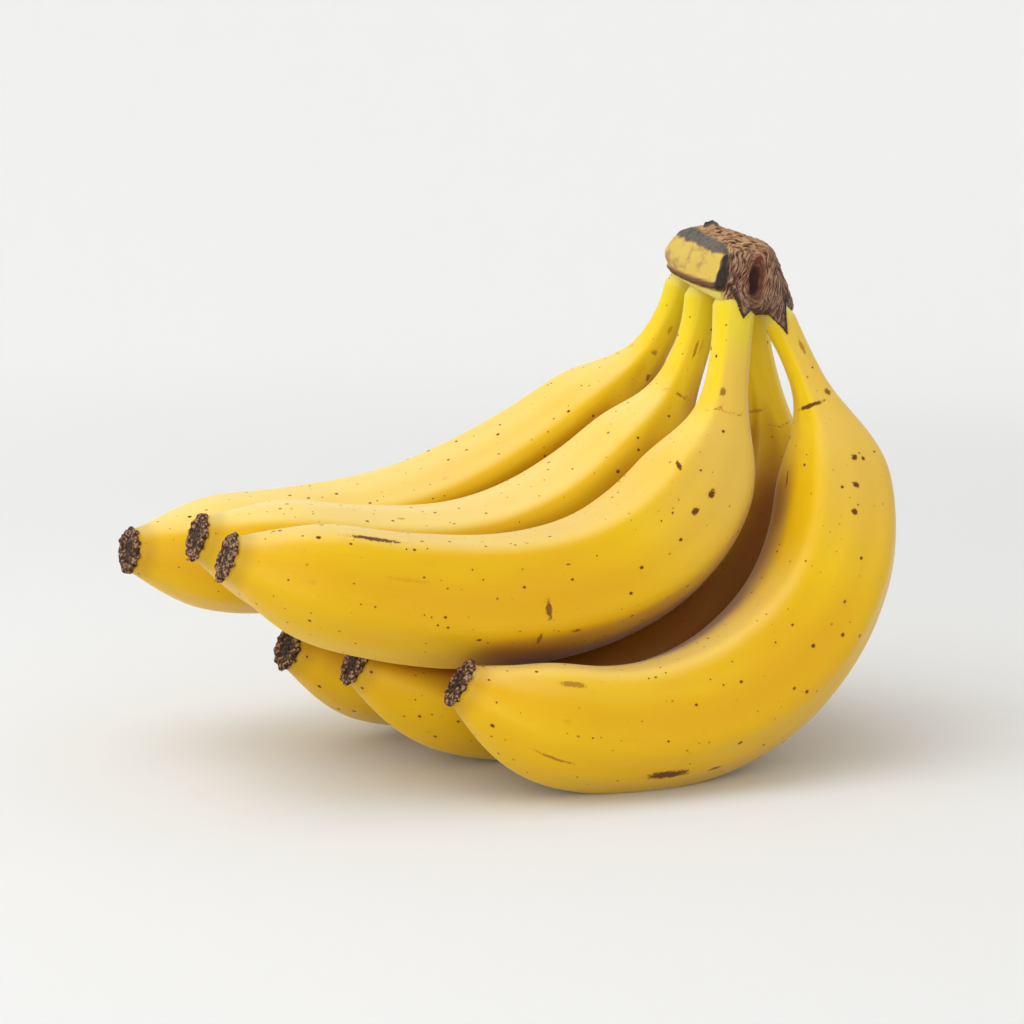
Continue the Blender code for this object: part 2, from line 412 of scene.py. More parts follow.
def softened(values: np.ndarray, reach: int) -> np.ndarray:
    """Values averaged with their neighbours, with both ends kept.

    Args:
        values: the values, in order.
        reach: how many neighbours count on each side.

    Returns:
        As many values.
    """
    weights = np.hanning(2 * reach + 3)
    padded = np.pad(values, reach + 1, mode="reflect", reflect_type="odd")
    return np.convolve(padded, weights / weights.sum(), mode="valid")


def smoothstep(low: float, high: float, values: np.ndarray) -> np.ndarray:
    """Smooth share from 0 at low to 1 at high."""
    share = np.clip((values - low) / (high - low), 0, 1)
    return share * share * (3 - 2 * share)


def noise_at(places: np.ndarray, size: float) -> np.ndarray:
    """Noise of about -1 to 1 whose lumps are about size across."""
    return np.array([noise.noise(Vector(place) / size) for place in places])


def write_masks(mesh: bpy.types.Mesh, masks: dict[str, np.ndarray]) -> None:
    """Store each mask on the mesh's points."""
    for name, values in masks.items():
        mesh.attributes.new(name, "FLOAT", "POINT").data.foreach_set("value", values.astype(np.float32))


def search_tree(pieces: list[bpy.types.Object]) -> BVHTree:
    """One search tree of several pieces.

    Args:
        pieces: mesh objects at the origin.

    Returns:
        The tree.
    """
    points, faces = [], []
    for piece in pieces:
        start = len(points)
        points += [v.co.copy() for v in piece.data.vertices]
        faces += [[start + i for i in p.vertices] for p in piece.data.polygons]
    return BVHTree.FromPolygons(points, faces)


# ---- the sweep ----------------------------------------------------------------------------------
@dataclass
class Spine:
    """Chain of points, in metres, that the sweep tree lays its rings on.

    Attributes:
        centres: the rings' centres.
        inward: unit vectors that a ring's first corner lies along.
        across: unit vectors a quarter turn on.
        radii: the rings' radii.
        ridges: share of the radius that the ridges stand out.
        stations: three numbers that each ring's corners carry to the material.
        distances: distances along the sweep, in millimetres.
    """

    centres: np.ndarray
    inward: np.ndarray
    across: np.ndarray
    radii: np.ndarray
    ridges: np.ndarray
    stations: np.ndarray
    distances: np.ndarray

    def as_object(self, name: str) -> bpy.types.Object:
        """Mesh object of the bare points, with everything else as attributes.

        Args:
            name: the object's name.

        Returns:
            The object, in the scene.
        """
        mesh = bpy.data.meshes.new(name)
        mesh.from_pydata(self.centres.tolist(), [], [])
        carried = {"inward": self.inward, "across": self.across, "station": self.stations,
                   "radius": self.radii, "ridge": self.ridges, "distance": self.distances}
        for label, values in carried.items():
            flat = np.asarray(values, np.float32)
            kind, slot = ("FLOAT_VECTOR", "vector") if flat.ndim == 2 else ("FLOAT", "value")
            mesh.attributes.new(label, kind, "POINT").data.foreach_set(slot, flat.ravel())
        return new_object(name, mesh)


class SweepTree:
    """Geometry Nodes tree that turns a spine into a closed skin with ridges and wrinkles."""

    SOCKETS = {"Sides": "NodeSocketInt", "Ridges": "NodeSocketInt", "Ridge Turn": "NodeSocketFloat",
               "Wrinkle Size": "NodeSocketFloat", "Wrinkle Height": "NodeSocketFloat",
               "Finish": "NodeSocketMaterial"}

    def __init__(self) -> None:
        """Build the tree."""
        self.tree = tree = bpy.data.node_groups.new("skin_swept_along_a_spine", "GeometryNodeTree")
        tree.interface.new_socket("Spine", in_out="INPUT", socket_type="NodeSocketGeometry")
        for name, kind in self.SOCKETS.items():
            tree.interface.new_socket(name, in_out="INPUT", socket_type=kind)
        tree.interface.new_socket("Skin", in_out="OUTPUT", socket_type="NodeSocketGeometry")
        given = add(tree, "NodeGroupInput").outputs

        rings = add(tree, "GeometryNodeAttributeDomainSize", given["Spine"]).outputs["Point Count"]
        steps = add(tree, SUBTRACT, rings, 1)
        corners = add(tree, ADD, given["Sides"], 1)
        grid = add(tree, "GeometryNodeMeshGrid", steps, given["Sides"], rings, corners)
        cell = add(tree, SPLIT, add(tree, "GeometryNodeInputPosition"))
        ring = add(tree, MULTIPLY_ADD, steps, 0.5, cell.outputs["X"])
        ring = add(tree, ROUND, ring)
        share = add(tree, DIVIDE, cell.outputs["Y"], given["Sides"])
        turn = add(tree, MULTIPLY_ADD, share, math.tau, math.pi)

        def carried(label: str, kind: str) -> bpy.types.Node:
            """What the spine's attribute holds at this ring."""
            read = add(tree, "GeometryNodeInputNamedAttribute", label, data_type=kind)
            return add(tree, "GeometryNodeSampleIndex", given["Spine"], read, ring, data_type=kind)

        place = add(tree, "GeometryNodeInputPosition")
        centre = add(tree, "GeometryNodeSampleIndex", given["Spine"], place, ring, data_type="FLOAT_VECTOR")
        cosine, sine = add(tree, COSINE, turn), add(tree, SINE, turn)
        spoke = add(tree, VECTOR_SCALE, carried("inward", "FLOAT_VECTOR"), named={"Scale": cosine})
        aside = add(tree, VECTOR_SCALE, carried("across", "FLOAT_VECTOR"), named={"Scale": sine})
        spoke = add(tree, VECTOR_ADD, spoke, aside)
        from_ridge = add(tree, SUBTRACT, turn, given["Ridge Turn"])
        wave = add(tree, COSINE, add(tree, MULTIPLY, from_ridge, given["Ridges"]))
        # A power of the wave leaves narrow crests with broad flats between.
        crest = add(tree, POWER, add(tree, MULTIPLY_ADD, wave, 0.5, 0.5), 2.6)
        lifted = add(tree, MULTIPLY_ADD, crest, 1.8, -0.65)
        swell = add(tree, MULTIPLY_ADD, lifted, carried("ridge", "FLOAT"), 1.0)
        reach = add(tree, MULTIPLY, swell, carried("radius", "FLOAT"))
        offset = add(tree, VECTOR_SCALE, spoke, named={"Scale": reach})
        place = add(tree, VECTOR_ADD, centre, offset)

        fine = add(tree, DIVIDE, 1.0, given["Wrinkle Size"])
        rough = add(tree, NOISE, place, named={"Scale": fine, "Detail": 3.0}, noise_dimensions="3D")
        rough = add(tree, VECTOR_SUBTRACT, rough.outputs["Color"], (0.5, 0.5, 0.5))
        shown = add(tree, MULTIPLY, reach, 250.0, use_clamp=True)              # none at the poles
        rough = add(tree, VECTOR_SCALE, rough,
                    named={"Scale": add(tree, MULTIPLY, given["Wrinkle Height"], shown)})
        place = add(tree, VECTOR_ADD, place, rough)
        place = add(tree, SPLIT, place)
        above = add(tree, MAXIMUM, place.outputs["Z"], 0.0)
        place = add(tree, JOIN, place.outputs["X"], place.outputs["Y"], above)

        straight = add(tree, JOIN, add(tree, MULTIPLY, cosine, reach),
                       add(tree, MULTIPLY, sine, reach),
                       add(tree, MULTIPLY, carried("distance", "FLOAT"), MM))
        straight = add(tree, VECTOR_SCALE, straight, named={"Scale": 1 / MM})
        skin = grid.outputs["Mesh"]
        station = carried("station", "FLOAT_VECTOR")
        stored = (("straight", straight, "FLOAT_VECTOR"), ("station", station, "FLOAT_VECTOR"),
                  ("crest", crest, "FLOAT"))
        for label, value, kind in stored:
            skin = add(tree, "GeometryNodeStoreNamedAttribute", skin, None, label, value, data_type=kind,
                       domain="POINT")
        skin = add(tree, "GeometryNodeSetPosition", skin, None, place)
        skin = add(tree, "GeometryNodeMergeByDistance", skin, named={"Distance": 0.01 * MM})
        skin = add(tree, "GeometryNodeSetShadeSmooth", skin)
        skin = add(tree, "GeometryNodeRealizeInstances", skin)
        skin = add(tree, "GeometryNodeSetMaterial", skin, named={"Material": given["Finish"]})
        add(tree, "NodeGroupOutput", skin)

    def sweep(self, name: str, spine: Spine, inputs: dict[str, object]) -> bpy.types.Object:
        """Run the tree on a spine.

        Args:
            name: the finished piece's name.
            spine: what the rings follow.
            inputs: value of each named input.

        Returns:
            A plain mesh object at the origin.
        """
        source = spine.as_object(name + "_spine")
        modifier = source.modifiers.new("skin", "NODES")
        modifier.node_group = self.tree
        for item in self.tree.interface.items_tree:
            if item.in_out == "INPUT" and item.name in inputs:
                modifier[item.identifier] = inputs[item.name]
        mesh = evaluated_mesh(source)
        mesh.flip_normals()
        mesh.name = name
        bpy.data.objects.remove(source, do_unlink=True)
        return new_object(name, mesh)


# ---- finishes -----------------------------------------------------------------------------------
@dataclass(frozen=True)
class BananaPeel:
    """Ripe banana peel: waxy skin, golden with a soft broad sheen, lengthwise fibres and sugar spots.

    Attributes:
        golden: the peel's main colour.
        lemon: its paler colour on the stem and the neck.
        cream: its lighter patches, and the painted highlight along the ridge crests.
        ochre: its duller patches and faint streaks.
        green: what is left of the unripe colour on the stem.
        collar: pale tissue where the stem leaves the crown.
        spot: sugar spots and scars.
        halo: bruised peel round them.
        painted_highlight: pale cream painted on the side that faces up, a painted highlight.
        bloom_and_sheen: dull pale cream on the front of the stem and the shoulder, partly a chalky coating
            and partly a painted sheen.
        painted_shade: dark orange-brown painted on the peel between the fingers, a painted shade.
        tip_stain_and_shade: dull brown beside the blossom end, partly a stain and partly painted shade under
            its lip.
        fibre: spacing of the lengthwise streaks.
        spot_spacing: spacing of the sugar spots.
        speck_spacing: spacing of the finest specks.
        dash_spacing: spacing of the short dashes.
        front_turn: angle round the finger, from the inside of the bend, of the side that bears the pale front
            patch.
        roughness: how matte the peel's waxy coat is.
    """

    golden: str = "#DFAD00"
    lemon: str = "#F2D016"
    cream: str = "#E7BD02"
    ochre: str = "#DDA20A"
    green: str = "#DDD20C"
    collar: str = "#E4D66A"
    spot: str = "#4E1E02"
    halo: str = "#B8700C"
    painted_highlight: str = "#FBE596"
    bloom_and_sheen: str = "#D9B050"
    painted_shade: str = "#8C3E00"
    tip_stain_and_shade: str = "#9C7420"
    fibre: float = 0.9
    spot_spacing: float = 3.6
    speck_spacing: float = 2.3
    dash_spacing: float = 9.0
    front_turn: float = 80.0
    roughness: float = 0.41

    def material(self, finger: Finger) -> bpy.types.Material:
        """Peel of one finger, with its own scars.

        Args:
            finger: whose peel it is.

        Returns:
            The material.
        """
        made, tree = new_material("ripe_banana_peel_" + finger.name)
        straight = add(tree, ATTRIBUTE, attribute_name="straight").outputs["Vector"]
        station = add(tree, SPLIT, add(tree, ATTRIBUTE, attribute_name="station").outputs["Vector"]).outputs
        crest = add(tree, ATTRIBUTE, attribute_name="crest").outputs["Fac"]
        from_root, past_neck, before_end = station["X"], station["Y"], station["Z"]

        broad = add(tree, NOISE, add(tree, MAPPING, straight, None, None, (1 / 34, 1 / 34, 1 / 80)),
                    named={"Scale": 1.0, "Detail": 3.0, "Roughness": 0.5})
        patch = add(tree, SMOOTH_RANGE, broad, 0.38, 0.66, 0.0, 1.0)
        dull = add(tree, SMOOTH_RANGE, broad, 0.46, 0.30, 0.0, 0.55)
        fibre = add(tree, NOISE, add(tree, MAPPING, straight, None, None,
                                     (1 / self.fibre, 1 / self.fibre, 1 / (30 * self.fibre))),
                    named={"Scale": 1.0, "Detail": 2.0, "Roughness": 0.6})
        streak = add(tree, MAP_RANGE, fibre, 0.52, 0.72, 0.0, 0.22)
        # Dull pale cream on the front of the stem and shoulder, strongest on the front fingers: partly a
        # chalky coating, partly a painted sheen.
        front = (math.cos(math.radians(self.front_turn)), math.sin(math.radians(self.front_turn)), 0.0)
        faced = add(tree, VECTOR_NORMALIZE, add(tree, VECTOR_MULTIPLY, straight, (1.0, 1.0, 0.0)))
        faced = add(tree, VECTOR_DOT, faced, front).outputs["Value"]
        faced = add(tree, SMOOTH_RANGE, faced, 0.50, 0.80, 0.0, 1.0)
        front_paleness = 0.72 if finger.place is Place.FRONT else 0.12
        bloom_and_sheen = add(tree, SMOOTH_RANGE, past_neck, 62.0, 18.0, 0.0, front_paleness)
        bloom_and_sheen = add(tree, MULTIPLY, bloom_and_sheen, faced)
        # Painted shade: dark orange-brown where the other fingers shut out the light, weaker on the stem.
        shaded = add(tree, MULTIPLY, add(tree, ATTRIBUTE, attribute_name="shaded").outputs["Fac"],
                     add(tree, MAP_RANGE, past_neck, -24.0, 4.0, 0.5, 1.0))
        edge = add(tree, NOISE, straight, named={"Scale": 1.3, "Detail": 4.0, "Roughness": 0.65})
        young = add(tree, SMOOTH_RANGE, past_neck, 42.0, -8.0, 0.0, 0.95)
        greenness = 0.5 if finger.row is Row.INNER else 0.15
        unripe = add(tree, SMOOTH_RANGE, past_neck, -8.0, -finger.stem + 12, 0.0, greenness)
        collar = add(tree, SMOOTH_RANGE, from_root, 9.0, 4.0, 0.0, 0.85)
        # Dull brown beside the blossom end: partly a stain, partly painted shade under its lip.
        near_tip = add(tree, SMOOTH_RANGE, before_end, 4.0, 0.0, 0.0, 0.35)
        # Pale cream painted on the side that faces up: a painted highlight, fixed to the world's up.
        upward = add(tree, SPLIT, add(tree, "ShaderNodeNewGeometry").outputs["Normal"]).outputs["Z"]
        highlight_share = 0.36 if finger.place is Place.FRONT else 0.58
        upward = add(tree, SMOOTH_RANGE, upward, 0.5, 1.0, 0.0, highlight_share)

        spots, halos = self.sugar_spots(tree, straight, edge)
        scars = self.scars(tree, straight, edge, finger)
        crease = self.neck_crease(tree, straight, past_neck, edge)
        colour = paint(tree, linear(self.golden), [
            (young, self.lemon), (patch, self.cream), (dull, self.ochre), (streak, self.ochre),
            # Ridge crests painted a little lighter: a painted highlight along each ridge.
            (add(tree, MULTIPLY, crest, 0.22), self.cream),
            (upward, self.painted_highlight), (bloom_and_sheen, self.bloom_and_sheen), (unripe, self.green), (collar, self.collar),
            (near_tip, self.tip_stain_and_shade),
            (halos, self.halo), (add(tree, MULTIPLY, scars, 0.55), self.halo),
            (crease, self.halo), (spots, self.spot),
            (add(tree, MAP_RANGE, scars, 0.45, 1.0, 0.0, 0.9), self.spot),
            (add(tree, MAP_RANGE, crease, 0.5, 1.0, 0.0, 0.8), self.spot),
            (add(tree, SMOOTH_RANGE, shaded, 0.34, 0.86, 0.0, 0.86), self.painted_shade)])

        grainy = add(tree, NOISE, straight, named={"Scale": 2.2, "Detail": 2.0})
        relief = add(tree, MULTIPLY_ADD, fibre, 0.035, add(tree, MULTIPLY, grainy, 0.02))
        dents = add(tree, MAXIMUM, add(tree, MAXIMUM, scars, crease), spots)
        relief = add(tree, MULTIPLY_ADD, dents, -0.05, relief)
        bump = add(tree, "ShaderNodeBump", named={"Height": relief, "Distance": MM, "Strength": 1.0})
        gloss = add(tree, MAP_RANGE, broad, 0.3, 0.7, self.roughness + 0.06, self.roughness - 0.06)
        gloss = add(tree, MULTIPLY_ADD, dents, 0.3, gloss)
        shade(tree, {"Base Color": colour, "Normal": bump, "Roughness": gloss, "IOR": 1.45,
                     "Specular IOR Level": 0.28, "Sheen Weight": 0.2, "Sheen Roughness": 0.42,
                     "Sheen Tint": linear("#FFFAE8")})
        return made

    def sugar_spots(self, tree: bpy.types.NodeTree, straight: bpy.types.NodeSocket,
                    edge: bpy.types.Node) -> tuple[bpy.types.Node, bpy.types.Node]:
        """Small brown spots and dashes, thick in some patches and thin in others.

        Args:
            tree: the peel's node tree.
            straight: the peel's own coordinates, in millimetres.
            edge: fine noise that makes their edges ragged.

        Returns:
            How much the spots cover, and how much the bruised peel round them covers.
        """
        crowd = add(tree, NOISE, straight, named={"Scale": 1 / 26, "Detail": 1.0})
        crowd = add(tree, SMOOTH_RANGE, crowd, 0.35, 0.65, 0.35, 0.95)
        covers, halos = None, None
        # Spacing, closeness along the finger against round it, radius in spacings, and share that is drawn.
        sorts = ((self.spot_spacing, 0.8, 0.17, 1.0), (self.speck_spacing, 1.0, 0.15, 0.6),
                 (self.dash_spacing, 0.5, 0.11, 0.5))
        for spacing, stretch, size, share in sorts:
            cells = add(tree, VORONOI, add(tree, MAPPING, straight, None, None,
                                           (1 / spacing, 1 / spacing, stretch / spacing)),
                        named={"Scale": 1.0, "Randomness": 1.0})
            lot = add(tree, SPLIT, cells.outputs["Color"]).outputs
            chance = add(tree, MULTIPLY, crowd, share)
            drawn = add(tree, LESS_THAN, lot["X"], chance)
            radius = add(tree, MAP_RANGE, lot["Y"], 0.0, 1.0, size * 0.35, size)
            radius = add(tree, MULTIPLY, radius, drawn)
            ragged = add(tree, MULTIPLY_ADD, edge, 0.12, cells.outputs["Distance"])
            inside = add(tree, SUBTRACT, radius, add(tree, SUBTRACT, ragged, 0.06))
            cover = add(tree, MULTIPLY, inside, 22.0, use_clamp=True)
            round_it = add(tree, ADD, inside, 0.04)
            halo = add(tree, MULTIPLY, add(tree, MULTIPLY, round_it, 12.0, use_clamp=True), drawn)
            covers = cover if covers is None else add(tree, MAXIMUM, covers, cover)
            halos = halo if halos is None else add(tree, MAXIMUM, halos, halo)
        return add(tree, MULTIPLY, covers, 0.92), add(tree, MULTIPLY, halos, 0.5)

    def scars(self, tree: bpy.types.NodeTree, straight: bpy.types.NodeSocket, edge: bpy.types.Node,
              finger: Finger) -> bpy.types.Node:
        """The finger's own scars.

        Args:
            tree: the peel's node tree.
            straight: the peel's own coordinates, in millimetres.
            edge: fine noise that makes their edges ragged.
            finger: whose scars they are.

        Returns:
            How much the scars cover.
        """
        covered = add(tree, ADD, 0.0, 0.0)
        for mark in finger.marks:
            turn, reach = math.radians(mark.turn), float(finger.radius(np.array([mark.along]))[0])
            middle = (reach * math.cos(turn), reach * math.sin(turn), mark.along)
            outward = Matrix.Rotation(turn, 3, "Z") @ Matrix.Rotation(math.radians(mark.slant), 3, "X")
            oval = add(tree, MAPPING, straight, middle, tuple(outward.to_euler()),
                       (6.0, mark.width / 2, mark.length / 2), vector_type="TEXTURE")
            away = add(tree, VECTOR_LENGTH, oval).outputs["Value"]
            away = add(tree, MULTIPLY_ADD, edge, 1.6, add(tree, SUBTRACT, away, 0.8))
            cover = add(tree, SMOOTH_RANGE, away, 1.15, 0.55, 0.0, mark.strength)
            covered = add(tree, MAXIMUM, covered, cover)
        return covered

    def neck_crease(self, tree: bpy.types.NodeTree, straight: bpy.types.NodeSocket,
                    past_neck: bpy.types.NodeSocket, edge: bpy.types.Node) -> bpy.types.Node:
        """Fine dark crack that runs part of the way round where the stem meets the body.

        Args:
            tree: the peel's node tree.
            straight: the peel's own coordinates, in millimetres.
            past_neck: distance past the neck.
            edge: fine noise that makes the crack ragged.

        Returns:
            How much the crack covers.
        """
        drift = add(tree, NOISE, straight, named={"Scale": 0.18, "Detail": 2.0})
        middle = add(tree, MULTIPLY_ADD, drift, 9.0, -1.5)
        away = add(tree, ABSOLUTE, add(tree, SUBTRACT, past_neck, middle))
        line = add(tree, MAP_RANGE, away, 0.55, 0.15, 0.0, 1.0)
        broken = add(tree, MAP_RANGE, edge, 0.44, 0.58, 0.0, 1.0)
        stretch = add(tree, NOISE, straight, named={"Scale": 0.09})
        stretch = add(tree, MAP_RANGE, stretch, 0.53, 0.60, 0.0, 0.8)
        return add(tree, MULTIPLY, add(tree, MULTIPLY, line, broken), stretch)


@dataclass(frozen=True)
class DriedBlossom:
    """Shrivelled flower remnant: dry, matte, dark brown with pale worn folds.

    Attributes:
        deep: colour in the folds.
        brown: main colour.
        worn: pale tan on the folds' crests.
        fold: spacing of the folds.
    """

    deep: str = "#170D0A"
    brown: str = "#583826"
    worn: str = "#CDA680"
    fold: float = 0.9

    def material(self) -> bpy.types.Material:
        """Material of the blossom ends.

        Returns:
            The material.
        """
        made, tree = new_material("dried_blossom_end")
        pit = add(tree, SPLIT, add(tree, ATTRIBUTE, attribute_name="station").outputs["Vector"]).outputs["X"]
        place = add(tree, "ShaderNodeTexCoord").outputs["Object"]
        grit = add(tree, NOISE, place,
                   named={"Scale": 1 / (self.fold * MM), "Detail": 4.0, "Roughness": 0.7})
        beads = add(tree, VORONOI, place, named={"Scale": 1 / (self.fold * MM), "Randomness": 1.0})
        height = add(tree, MULTIPLY_ADD, grit, 1.0, add(tree, MULTIPLY, beads.outputs["Distance"], -0.5))
        crown = add(tree, MAP_RANGE, height, 0.24, 0.44, 0.0, 1.0)
        colour = paint(tree, linear(self.deep), [
            (add(tree, MAP_RANGE, height, 0.0, 0.22, 0.0, 1.0), self.brown),
            (add(tree, MULTIPLY, crown, 0.75), self.worn),
            (add(tree, MULTIPLY, pit, 0.75), self.deep)])
        bump = add(tree, "ShaderNodeBump", named={"Height": height, "Distance": 0.4 * MM, "Strength": 1.0})
        shade(tree, {"Base Color": colour, "Normal": bump, "Roughness": 0.78, "Specular IOR Level": 0.3})
        return made


@dataclass(frozen=True)
class CutCrown:
    """Cut and dried stalk: fibrous brown tissue, charred black along its edges, skinned on one side.

    Attributes:
        tan: fresh fibres.
        brown: dried fibres.
        pit: dark red hollows between them.
        rust: orange tissue beside the hollow.
        black: charred edges.
        grey: grey band on the skinned side along the top cut.
        cut_top: paler fibres of the top cut.
        dusk: mauve brown patches on the front cut.
        skin: yellow skin of the inner side.
        bruise: its mauve brown blotches.
        rim: lip under the skinned side.
        collar: pale tissue under the rim.
        fibre: spacing of the fibres.
    """

    tan: str = "#DEB288"
    brown: str = "#80503A"
    pit: str = "#34120C"
    rust: str = "#8C4424"
    black: str = "#30231C"
    grey: str = "#7B7068"
    cut_top: str = "#DBA468"
    dusk: str = "#553A32"
    skin: str = "#D2B44C"
    bruise: str = "#A67C54"
    rim: str = "#6A3E26"
    collar: str = "#DACD66"
    fibre: float = 0.6

    def material(self, hollow: "Hollow") -> bpy.types.Material:
        """Material of the crown and of its skirt.

        Args:
            hollow: the hollow that the fibres curve round.

        Returns:
            The material.
        """
        made, tree = new_material("cut_and_dried_crown_tissue")
        place = add(tree, "ShaderNodeTexCoord").outputs["Object"]
        centre, radii = (tuple(c * MM for c in size) for size in (hollow.centre, hollow.radii))
        turn = tuple(hollow.turned().to_euler())
        local = add(tree, MAPPING, place, centre, turn, radii, vector_type="TEXTURE")
        away = add(tree, VECTOR_LENGTH, local).outputs["Value"]
        spread = add(tree, NOISE, place, named={"Scale": 1 / (9 * MM), "Detail": 2.0})
        ring = add(tree, MULTIPLY_ADD, spread, 2.0, away)
        bent = add(tree, JOIN, add(tree, MULTIPLY, ring, 3.2))
        slow = add(tree, VECTOR_SCALE, place, named={"Scale": 1 / (7 * MM)})
        fibres = add(tree, NOISE, add(tree, VECTOR_ADD, bent, slow),
                     named={"Scale": 1.5 / self.fibre, "Detail": 5.0, "Roughness": 0.65})
        grit = add(tree, NOISE, place, named={"Scale": 1 / (0.8 * MM), "Detail": 4.0, "Roughness": 0.7})
        holes = add(tree, VORONOI, place, named={"Scale": 1 / (2.4 * MM), "Randomness": 1.0})
        hole = add(tree, MULTIPLY_ADD, grit, 0.5, holes.outputs["Distance"])
        hole = add(tree, MAP_RANGE, hole, 0.78, 0.52, 0.0, 0.9)
        masks = {name: add(tree, ATTRIBUTE, attribute_name=name).outputs["Fac"]
                 for name in ("skin", "grey", "black", "rim", "collar", "top")}
        drawn_out = add(tree, MAPPING, place, None, None, (1.0, 0.3, 0.9))
        blotch = add(tree, NOISE, drawn_out,
                     named={"Scale": 1 / (3.4 * MM), "Detail": 4.0, "Roughness": 0.55})
        skin = paint(tree, linear(self.skin), [
            (add(tree, MAP_RANGE, blotch, 0.50, 0.68, 0.0, 0.85), self.bruise),
            (add(tree, MAP_RANGE, grit, 0.58, 0.72, 0.0, 0.35), self.bruise)])
        char = add(tree, MAP_RANGE, grit, 0.45, 0.65, 0.0, 0.6)
        tissue = paint(tree, linear(self.brown), [
            (add(tree, MAP_RANGE, spread, 0.54, 0.38, 0.0, 0.6), self.dusk),
            (add(tree, MULTIPLY, masks["top"], 0.85), self.cut_top),
            (add(tree, MAP_RANGE, fibres, 0.45, 0.62, 0.0, 0.85), self.tan),
            (add(tree, MAP_RANGE, fibres, 0.49, 0.38, 0.0, 0.8), self.pit),
            (add(tree, MULTIPLY, hole, masks["top"]), self.pit),
            (add(tree, MAP_RANGE, away, 1.5, 0.9, 0.0, 0.6), self.rust),
            (add(tree, MAP_RANGE, away, 1.15, 0.6, 0.0, 0.95), self.pit)])
        coated = add(tree, MIX, masks["skin"], tissue, skin, data_type="RGBA")
        colour = paint(tree, coated, [
            (masks["collar"], self.collar), (masks["rim"], self.rim), (masks["grey"], self.grey),
            (add(tree, MULTIPLY, masks["grey"], char), self.black), (masks["black"], self.black)])
        smooth = add(tree, MULTIPLY_ADD, add(tree, MAXIMUM, masks["skin"], masks["collar"]), -0.97, 1.0)
        relief = add(tree, MULTIPLY_ADD, fibres, 1.0, add(tree, MULTIPLY, grit, 0.4))
        relief = add(tree, MULTIPLY, relief, smooth)
        bump = add(tree, "ShaderNodeBump", named={"Height": relief, "Distance": 1.2 * MM, "Strength": 1.0})
        gloss = add(tree, MULTIPLY_ADD, masks["black"], -0.35, 0.75)
        shade(tree, {"Base Color": colour, "Normal": bump, "Roughness": gloss, "Specular IOR Level": 0.35})
        return made


@dataclass(frozen=True)
class StudioPaper:
    """Matte white studio paper, that glows a little away from the hand.

    Attributes:
        colour: the paper's colour.
        tooth: its slightly darker grain.
        glow: how strongly it glows at most.
        glow_starts: distance from the hand, in metres, where the glow begins.
        glow_full: distance where it is at its strongest.
    """

    colour: str = "#E7E7E6"
    tooth: str = "#E2E2E0"
    glow: float = 0.17
    glow_starts: float = 0.35
    glow_full: float = 1.3

    def material(self) -> bpy.types.Material:
        """Material of the paper.

        Returns:
            The material.
        """
        made, tree = new_material("matte_studio_paper")
        place = add(tree, "ShaderNodeTexCoord").outputs["Object"]
        grain = add(tree, NOISE, place, named={"Scale": 4.0, "Detail": 1.0})
        colour = paint(tree, linear(self.colour), [(add(tree, MULTIPLY, grain, 0.04), self.tooth)])
        reach = add(tree, VECTOR_LENGTH, place).outputs["Value"]
        glow = add(tree, SMOOTH_RANGE, reach, self.glow_starts, self.glow_full, 0.0, self.glow)
        shade(tree, {"Base Color": colour, "Emission Strength": glow, "Emission Color": linear("#FFFFFF"),
                     "Roughness": 0.9, "Specular IOR Level": 0.1})
        return made


# ---- pieces -------------------------------------------------------------------------------------
def finish_piece(made: bpy.types.Object, node: str | None = None) -> bpy.types.Object:
    """Hang a finished piece on the frame.

    Args:
        made: the piece, at the origin.
        node: solid that it stands for, if any.

    Returns:
        The piece.
    """
    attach(made, BODY)
    if node:
        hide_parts(node)
    log.info("%s: %d faces", made.name, len(made.data.polygons))
    return made


